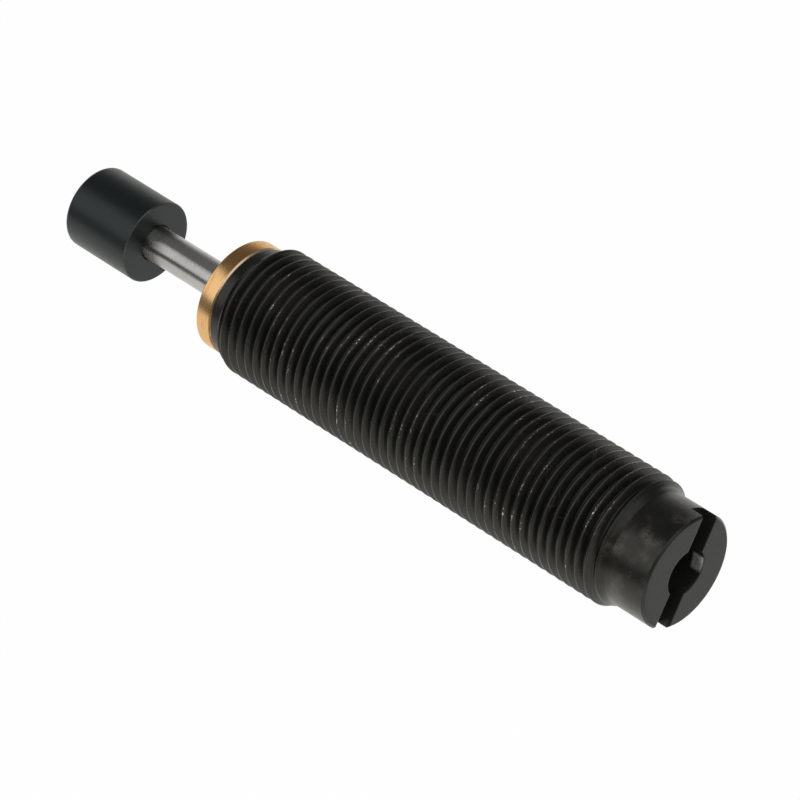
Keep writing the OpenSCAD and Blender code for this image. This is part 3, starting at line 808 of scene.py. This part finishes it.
def bronze_material(name, colours, rims=()):
    """Turned bronze: warm metal with fine turning rings and darker tarnish in streaks round it. Along its top it is
    darkened by painted shade, and its rims carry a painted highlight high up and near-black painted shade low down."""
    material, nodes = new_material(name)
    z = nodes.add("ShaderNodeSeparateXYZ", 2, {0: object_place(nodes)})
    marks = turning_marks(nodes, lines_per_mm=7.0, wander=0.16, detail=4.0)
    broad = mottle(nodes, "Broad", patch_size_mm=1.6, stretch=2.2, seed=8.0)
    fine = mottle(nodes, "Fine", patch_size_mm=0.7, seed=4.0)
    lines = hairlines(
        nodes, along_per_mm=2.0, across_per_mm=0.3, lean=0.5, width=0.014, share=0.45, seed=9.0)
    streaks = marks.span(0.45, 0.7) * broad.span(0.35, 0.65) * 0.7
    # Painted shade: darker bronze along the top, 4.3 to 5.1 mm above the axis, broken by noise
    top = z.span(4.3 * MM, 5.1 * MM) * fine.span(0.3, 0.7, 0.35, 0.9)
    base = streaks.most(top).blend(colours.bronze, colours.bronze_dark)
    scratch_and_highlight = lines * 0.5
    # Painted light on each rim: a pale highlight high up, and near-black brown painted shade low down
    for place, radius, width, broken in rims:
        rim = rim_wear_and_painted_light(nodes, "Mask", place, radius, width, broken)
        high = z.span(0.3 * radius, 0.8 * radius)
        scratch_and_highlight = scratch_and_highlight.most(rim * high)
        base = (rim * (1.0 - high)).blend(base, scaled(colours.bronze_dark, 0.1))
    nodes.principled(marks + fine * 0.3, 0.0018, {
        "Base Color": scratch_and_highlight.blend(base, SCRATCH_AND_HIGHLIGHT_BRONZE), "Metallic": 1.0, "Specular Tint": BRONZE_TINT,
        "Roughness": (marks + fine).span(0.6, 1.4, 0.2, 0.34)})
    return material


def steel_material(name, tone, smooth, rough, lines_per_mm, relief, drawn=0.0):
    """Machined or ground steel: bright metal with fine rings round it, faint cloudiness and hairlines. The
    rings of a ground surface draw its reflections out along the axis, by the share drawn."""
    material, nodes = new_material(name)
    marks = turning_marks(nodes, lines_per_mm=lines_per_mm, wander=0.06)
    broad = mottle(nodes, "Broad", patch_size_mm=2.2, seed=6.0)
    lines = hairlines(
        nodes, along_per_mm=0.25, across_per_mm=2.2, lean=0.2, width=0.014, share=0.4, seed=2.0)
    base = broad.span(0.35, 0.7).blend(tone, scaled(tone, 0.86))
    inputs = {
        "Base Color": (lines * 0.35).blend(base, scaled(tone, 1.35)), "Metallic": 1.0,
        "Roughness": (marks + broad * 0.5).span(0.5, 1.0, smooth, rough),
        "Anisotropic": drawn, "Anisotropic Rotation": 0.25,
    }
    if drawn:
        inputs["Tangent"] = nodes.add("ShaderNodeTangent", 0, direction_type="RADIAL", axis="X")
    nodes.principled(marks, relief, inputs)
    return material


def rubber_material(name, tone):
    """Moulded rubber: near-black, dull, with a fine pebbled skin and paler dust."""
    material, nodes = new_material(name)
    fine = mottle(nodes, "Fine", patch_size_mm=0.35, seed=1.0)
    dust = specks(nodes, spacing_mm=0.3, spot_size=0.2, share=0.08, seed=6.0)
    nodes.principled(fine, 0.006, {
        "Base Color": (dust * 0.4).blend(tone, PALE_DUST), "Roughness": fine.span(0.3, 0.7, 0.48, 0.66),
        "IOR": 1.5})
    return material


def foam_material(name, tone):
    """Closed-cell foam: dark grey, matt, with small round cells whose hollows are darkened by painted shade, and
    paler between them.
    """
    material, nodes = new_material(name)
    cells = nodes.add("ShaderNodeTexVoronoi", "Distance", {"Vector": object_place(nodes), "Scale": 5200.0})
    broad = mottle(nodes, "Broad", patch_size_mm=0.8, seed=3.0)
    pit = cells.span(0.1, 0.55)
    base = broad.span(0.3, 0.7, 0.0, 0.35).blend(pit.blend(scaled(tone, 0.35), scaled(tone, 1.5)), tone)
    nodes.principled(pit, 0.03, {"Base Color": base, "Roughness": pit.span(0.0, 1.0, 0.95, 0.75), "IOR": 1.45})
    return material


def plastic_material(name, tone):
    """Machined ivory-white plastic: slightly waxy, with faint turning rings."""
    material, nodes = new_material(name)
    marks = turning_marks(nodes, lines_per_mm=6.0, wander=0.05)
    broad = mottle(nodes, "Broad", patch_size_mm=2.0, seed=7.0)
    nodes.principled(marks, 0.003, {
        "Base Color": broad.span(0.35, 0.7).blend(tone, scaled(tone, 0.88)),
        "Roughness": marks.span(0.3, 0.7, 0.38, 0.52), "IOR": 1.38,
        "Subsurface Weight": 0.1, "Subsurface Scale": 0.4 * MM})
    return material


def dress(piece, material):
    """Gives a piece one material in all its slots."""
    if not piece.material_slots:
        piece.data.materials.append(material)
    for slot in piece.material_slots:
        slot.material = material


# ---------------------------------------------------------------- operators


class SHOCK_OT_barrel(Operator):
    """Threaded barrel with its shank, driver slot, neck and bores"""

    bl_idname = "shock.barrel"
    bl_label = "Threaded Barrel"

    def execute(self, context):
        scene = context.scene
        barrel, colours = scene.shock_barrel, scene.shock_finish
        grids, wear = barrel_grids(scene.shock_thread, barrel, scene.shock_front.seat_fit)
        piece = build("threaded_barrel", grids, sharp=38.0, exposed=wear)
        shank, bevel = barrel.shank_radius, barrel.rear_bevel
        face_end, inside, everywhere = BARREL_REAR + 0.01 * MM, shank - 0.03 * MM, 1.0
        slot_end = BARREL_REAR + barrel.slot_depth + 2 * MM
        finish = oxide_material(
            "black_oxide_barrel", colours, colours.oxide, tint=BARREL_TINT,
            rims=[(BARREL_REAR + 0.5 * bevel, shank - 0.5 * bevel, 0.12 * MM, 1.0)],
            bands=[(-everywhere, face_end, inside, BURNISHED_FACE, 1.0),
                   (face_end, slot_end, inside, SLOT_SHADE, 0.0),
                   # This band is painted shade, dark brown, in the joint behind the collar
                   (BARREL_FRONT - 0.13 * MM, everywhere, inside, JOINT_SHADE, 1.0)],
            # The bore gets a painted pool of light on its wall beside its mouth
            bore=(BARREL_REAR + 0.05 * MM, barrel.hole_radius + 0.03 * MM),
            thread_from=BARREL_REAR + barrel.shank_length)
        dress(piece, finish)
        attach(piece, "housing")
        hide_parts("outer_body")
        return {"FINISHED"}


class SHOCK_OT_collar(Operator):
    """Bronze front collar with its bush, seal pocket and ring groove"""

    bl_idname = "shock.collar"
    bl_label = "Front Collar"

    def execute(self, context):
        sizes, colours = context.scene.shock_front, context.scene.shock_finish
        bush, front, radius = span("bearing_collar")
        bore, fit = span("rod_guide")[2], sizes.seat_fit
        ring_rear, ring_front, _ = span("collar_o_ring")
        middle, half = (ring_rear + ring_front) / 2, 0.65 * (ring_front - ring_rear + 2 * fit)
        groove = bore + fit - sizes.groove_depth
        pocket, seal = span("backup_ring")[1], span("rod_seal")[2] + fit
        wiper, wiper_radius = span("rod_wiper")[0], span("rod_wiper")[2] + fit
        rod = span("piston_rod")[2] + sizes.running_fit
        bevel, edge = sizes.collar_bevel, sizes.collar_edge
        outline = [
            (bush, seal), (bush, bore), (middle - half, bore), (middle - half, groove),
            (middle + half, groove), (middle + half, bore), (BARREL_FRONT, bore),
            (BARREL_FRONT, radius - bevel), (BARREL_FRONT + bevel, radius), (front - 0.6 * bevel, radius),
            (front, radius - 0.6 * bevel), (front, wiper_radius), (wiper, wiper_radius), (wiper, rod),
            (pocket, rod), (pocket, seal),
        ]
        radii = [edge, edge, 0, 0, 0, 0, 0, edge, 2 * edge, 2 * edge, 2 * edge, 1.5 * edge, 0, 0, 0, 0]
        piece = lathed("bronze_collar", outline, radii, 4, 144)
        # The rear rim gets a painted highlight high up and painted shade low down
        rims = [(BARREL_FRONT + 0.5 * bevel, radius - 0.5 * bevel, bevel, 0.25)]
        dress(piece, bronze_material("turned_bronze_collar", colours, rims))
        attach(piece, "housing")
        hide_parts("bearing_collar")
        return {"FINISHED"}


class SHOCK_OT_rod(Operator):
    """Ground piston rod with its inner spigot"""

    bl_idname = "shock.rod"
    bl_label = "Piston Rod"

    def execute(self, context):
        spigot, colours = context.scene.shock_front.spigot_radius, context.scene.shock_finish
        rear, front, radius = span("piston_rod")
        shoulder, bevel, edge = span("piston")[1], 0.2 * MM, 0.04 * MM
        outline = [
            (rear, 0), (rear, spigot - bevel), (rear + bevel, spigot), (shoulder, spigot),
            (shoulder, radius), (front - bevel, radius), (front, radius - bevel), (front, 0),
        ]
        piece = lathed("ground_rod", outline, [0, 0, 0, 0, edge, edge, 0, 0], 4, 96, closed=False)
        dress(piece, steel_material("ground_steel_rod", colours.ground_steel, 0.24, 0.29, 16.0, 0.0006, drawn=0.95))
        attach(piece, "rod")
        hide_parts("piston_rod")
        return {"FINISHED"}


class SHOCK_OT_button(Operator):
    """Impact button with its round edge and the bore for the rod"""

    bl_idname = "shock.button"
    bl_label = "Impact Button"

    def execute(self, context):
        sizes, colours = context.scene.shock_front, context.scene.shock_finish
        rear, front, radius = span("rod_button")
        bore, face_round = span("piston_rod")[2] + 0.5 * sizes.seat_fit, sizes.button_round
        sink, bevel, grip, edge = sizes.button_sink, sizes.button_bevel, rear + sizes.button_grip, 0.05 * MM
        outline = [
            (grip, 0), (grip, bore), (rear + sink, bore), (rear, bore + sink), (rear, radius - bevel),
            (rear + bevel, radius), (front, radius), (front, 0),
        ]
        radii = [0, 0, 0, 0.6 * edge, edge, edge, face_round, 0]
        piece = lathed("impact_button", outline, radii, 10, 144, closed=False)
        rims = [(rear + 0.5 * bevel, radius - 0.5 * bevel, 0.10 * MM, 0.8),
                (front, radius - face_round, 0.22 * MM, 0.95)]
        dress(piece, oxide_material(
            "blue_black_button", colours, colours.button_black, 0.15, 0.25, (0.33, 0.42), BUTTON_TINT, rims))
        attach(piece, "rod")
        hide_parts("rod_button")
        return {"FINISHED"}


class SHOCK_OT_spring(Operator):
    """Return spring between its seat and its follower"""

    bl_idname = "shock.spring"
    bl_label = "Return Spring"

    def execute(self, context):
        sizes, colours = context.scene.shock_inside, context.scene.shock_finish
        rear, front, outer = span("spring_seat")[1], span("spring_follower")[0], span("return_spring")[2]
        piece = build("helical_spring", [spring_grid(sizes, rear, front, outer - sizes.wire_radius)], sharp=60.0)
        dress(piece, steel_material("drawn_spring_wire", colours.spring_steel, 0.24, 0.36, 20.0, 0.002))
        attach(piece, "housing")
        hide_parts("return_spring")
        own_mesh(piece)
        return {"FINISHED"}


class SHOCK_OT_foam(Operator):
    """Foam sleeve that takes up the oil pushed out by the rod"""

    bl_idname = "shock.foam"
    bl_label = "Foam Sleeve"

    def execute(self, context):
        piece = build("foam_sleeve", [foam_grid(context.scene.shock_inside, *span("accumulator_foam"))], sharp=80.0)
        dress(piece, foam_material("closed_cell_foam", context.scene.shock_finish.foam))
        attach(piece, "housing")
        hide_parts("accumulator_foam")
        return {"FINISHED"}


class SHOCK_OT_inner_parts(Operator):
    """Finishes of the plug, tube, piston, guide and seals"""

    bl_idname = "shock.inner_parts"
    bl_label = "Inner Parts"

    def execute(self, context):
        colours = context.scene.shock_finish
        steel = colours.machined_steel
        finishes = {
            oxide_material("blackened_plug", colours, colours.oxide, scratches=0.5): ["fill_plug"],
            steel_material("annealed_copper", colours.copper, 0.24, 0.38, 4.0, 0.002): ["plug_seal"],
            steel_material("honed_tube", steel, 0.16, 0.28, 10.0, 0.0012): ["pressure_tube", "piston", "rod_guide"],
            steel_material("blanked_washer", steel, 0.26, 0.40, 5.0, 0.002): [
                "spring_seat", "spring_follower", "piston_nut", "ring_retainer", "seal_spacer"],
            bronze_material("sleeve_bronze", colours): ["check_ring", "guide_bearing"],
            rubber_material("seal_rubber", colours.rubber): ["rod_seal", "collar_o_ring", "rod_wiper"],
            plastic_material("ivory_plastic", colours.hard_ring): ["backup_ring"],
        }
        for material, names in finishes.items():
            for name in names:
                dress(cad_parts[name], material)
        return {"FINISHED"}


def glow(nodes, surface, strength, fade):
    """Mixes a surface with plain white light where camera, mirror-like or clear surfaces look at it. The
    mirror-like ones see it a little warmer, and darker by fade, which is 1 where the sheet is fully white."""
    camera, glossy, clear = nodes.add("ShaderNodeLightPath", (
        "Is Camera Ray", "Is Glossy Ray", "Is Transmission Ray"))
    white = nodes.add("ShaderNodeEmission", 0, {
        "Color": camera.blend(WARM_WHITE, WHITE), "Strength": camera.most(fade)})
    seen = camera.most(glossy).most(clear)
    return nodes.add("ShaderNodeMixShader", 0, {0: seen * strength, 1: surface, 2: white})


def aimed(name, data, aim, back, distance):
    """Puts a lamp or a camera in the scene, at a distance from its aim along back, and turned to look at it."""
    item = bpy.data.objects.new(name, data)
    looking = back.to_track_quat("Z", "Y").to_matrix().to_4x4()
    item.matrix_world = Matrix.Translation(aim + back * distance) @ looking
    bpy.context.scene.collection.objects.link(item)
    return item


def soft_lamp(name, toward, distance, size, level):
    """A rectangular area lamp that looks at the origin from a direction. Its power is its brightness times
    its area times pi."""
    light = bpy.data.lights.new(name, "AREA")
    light.shape = "RECTANGLE"
    light.size, light.size_y = size
    light.energy = level * size[0] * size[1] * math.pi
    aimed(name, light, Vector(), Vector(toward).normalized(), distance)


def sweep_grid(away, ground):
    """A wide sheet that curves up behind the object: away from the camera it is flat, then a quarter of a
    circle, then upright."""
    flat, bend, tall, reach = 0.75, 0.5, 0.5, 1.6
    arc = np.linspace(0, math.pi / 2, 17)[1:]
    along = np.concatenate([[-reach], np.linspace(-0.4, flat, 6), flat + bend * np.sin(arc), [flat + bend]])
    up = np.concatenate([np.zeros(7), bend * (1 - np.cos(arc)), [bend + tall]])[:, None]
    across = np.linspace(-reach, reach, 9)[None, :]
    along, across, up = np.broadcast_arrays(along[:, None], across, up + ground)
    points = np.stack([along * away.x - across * away.y, along * away.y + across * away.x, up], axis=-1)
    return points.reshape(-1, 3), lattice(*along.shape, wrap=False)[:, ::-1]


class SHOCK_OT_studio(Operator):
    """Floor, backdrop, room, lamps and camera"""

    bl_idname = "shock.studio"
    bl_label = "Studio"

    def execute(self, context):
        scene = context.scene
        studio = scene.shock_studio
        azimuth, tilt = studio.camera_turn, studio.camera_tilt
        ground = min(corner[2] for corner in CAD_BOX)
        away = Vector((math.cos(azimuth + math.pi), math.sin(azimuth + math.pi), 0))
        floor = build("floor_sweep", [sweep_grid(away, ground)], sharp=180.0)

        # Paper that is plain white to the camera. To mirror-like surfaces its white is dimmed up the backdrop and on
        # the +Y side, from 18 to 34 mm out: painted shade that shows only in reflections
        paper, nodes = new_material("paper_white")
        y, z = nodes.add("ShaderNodeSeparateXYZ", (1, 2), {0: object_place(nodes)})
        tone = nodes.noise(object_place(nodes), 60.0, 3.0).span(0.3, 0.7, 0.0, 0.02).blend(studio.floor_white, WHITE)
        rise = z.span(0.0, 1.1, 1.0, 0.0) ** 2.5
        fade = (rise * 0.84 + 0.16) * y.span(0.018, 0.034, 1.0, studio.room_level)
        matt = nodes.add("ShaderNodeBsdfDiffuse", 0, {"Color": tone, "Roughness": 0.6})
        nodes.add("ShaderNodeOutputMaterial", None, {"Surface": glow(nodes, matt, studio.floor_lift, fade)})
        dress(floor, paper)

        # The room: plain grey to light and to mirror-like surfaces, white to the camera
        scene.world = bpy.data.worlds.new("studio_room")
        nodes = emptied(scene.world)
        level = nodes.add("ShaderNodeLightPath", "Is Camera Ray").between(studio.room_level, 1.0)
        room = nodes.add("ShaderNodeBackground", 0, {"Color": WHITE, "Strength": level})
        nodes.add("ShaderNodeOutputWorld", None, {"Surface": room})
        soft_lamp("key_lamp", (-0.55, 0.15, 0.85), 1.0, (1.4, 1.4), studio.key_level)
        soft_lamp("side_lamp", (0.54, 0.66, 0.52), 0.9, (0.9, 0.72), studio.side_level)

        # The camera looks at its aim point from its turn and tilt
        low, high = (Vector(corner) for corner in CAD_BOX)
        aim = (low + high) / 2 + Vector(studio.aim_shift)
        back = Vector((math.cos(tilt) * math.cos(azimuth), math.cos(tilt) * math.sin(azimuth), math.sin(tilt)))
        data = bpy.data.cameras.new("studio_camera")
        data.sensor_width, data.lens = 36.0, studio.camera_lens
        data.clip_start, data.clip_end = 0.01, 20.0
        scene.camera = aimed("studio_camera", data, aim, back, studio.camera_distance)
        scene.view_settings.view_transform = "Standard"
        return {"FINISHED"}


class SHOCK_PT_panel(Panel):
    """Sizes, colours and building steps of the shock absorber"""

    bl_idname = "SHOCK_PT_panel"
    bl_label = "Shock Absorber"
    bl_space_type = "VIEW_3D"
    bl_region_type = "UI"
    bl_category = "Shock Absorber"

    def draw(self, context):
        for title, key, group, steps in SECTIONS:
            box = self.layout.box()
            box.label(text=title)
            for name in group.__annotations__:
                box.prop(getattr(context.scene, key), name)
            for step in steps:
                box.operator(step.bl_idname)


SECTIONS = (
    ("Thread", "shock_thread", ShockThread, ()),
    ("Barrel", "shock_barrel", ShockBarrel, (SHOCK_OT_barrel,)),
    ("Collar, rod and button", "shock_front", ShockFront, (SHOCK_OT_collar, SHOCK_OT_rod, SHOCK_OT_button)),
    ("Spring and foam", "shock_inside", ShockInside, (SHOCK_OT_spring, SHOCK_OT_foam)),
    ("Finishes", "shock_finish", ShockFinish, (SHOCK_OT_inner_parts,)),
    ("Studio", "shock_studio", ShockStudio, (SHOCK_OT_studio,)),
)
STEPS = [step for *_, steps in SECTIONS for step in steps]
CLASSES = [group for _, _, group, _ in SECTIONS] + STEPS + [SHOCK_PT_panel]


def register():
    """Makes the property groups, operators and panel known, and hangs the properties on the scene."""
    for item in CLASSES:
        bpy.utils.register_class(item)
    for _, key, group, _ in SECTIONS:
        setattr(bpy.types.Scene, key, bpy.props.PointerProperty(type=group))


def unregister():
    """Takes all of that away again."""
    for _, key, _, _ in SECTIONS:
        delattr(bpy.types.Scene, key)
    for item in reversed(CLASSES):
        bpy.utils.unregister_class(item)


def main():
    """Registers the add-on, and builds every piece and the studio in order."""
    register()
    for step in STEPS:
        family, name = step.bl_idname.split(".")
        getattr(getattr(bpy.ops, family), name)()


if __name__ == "__main__":
    main()
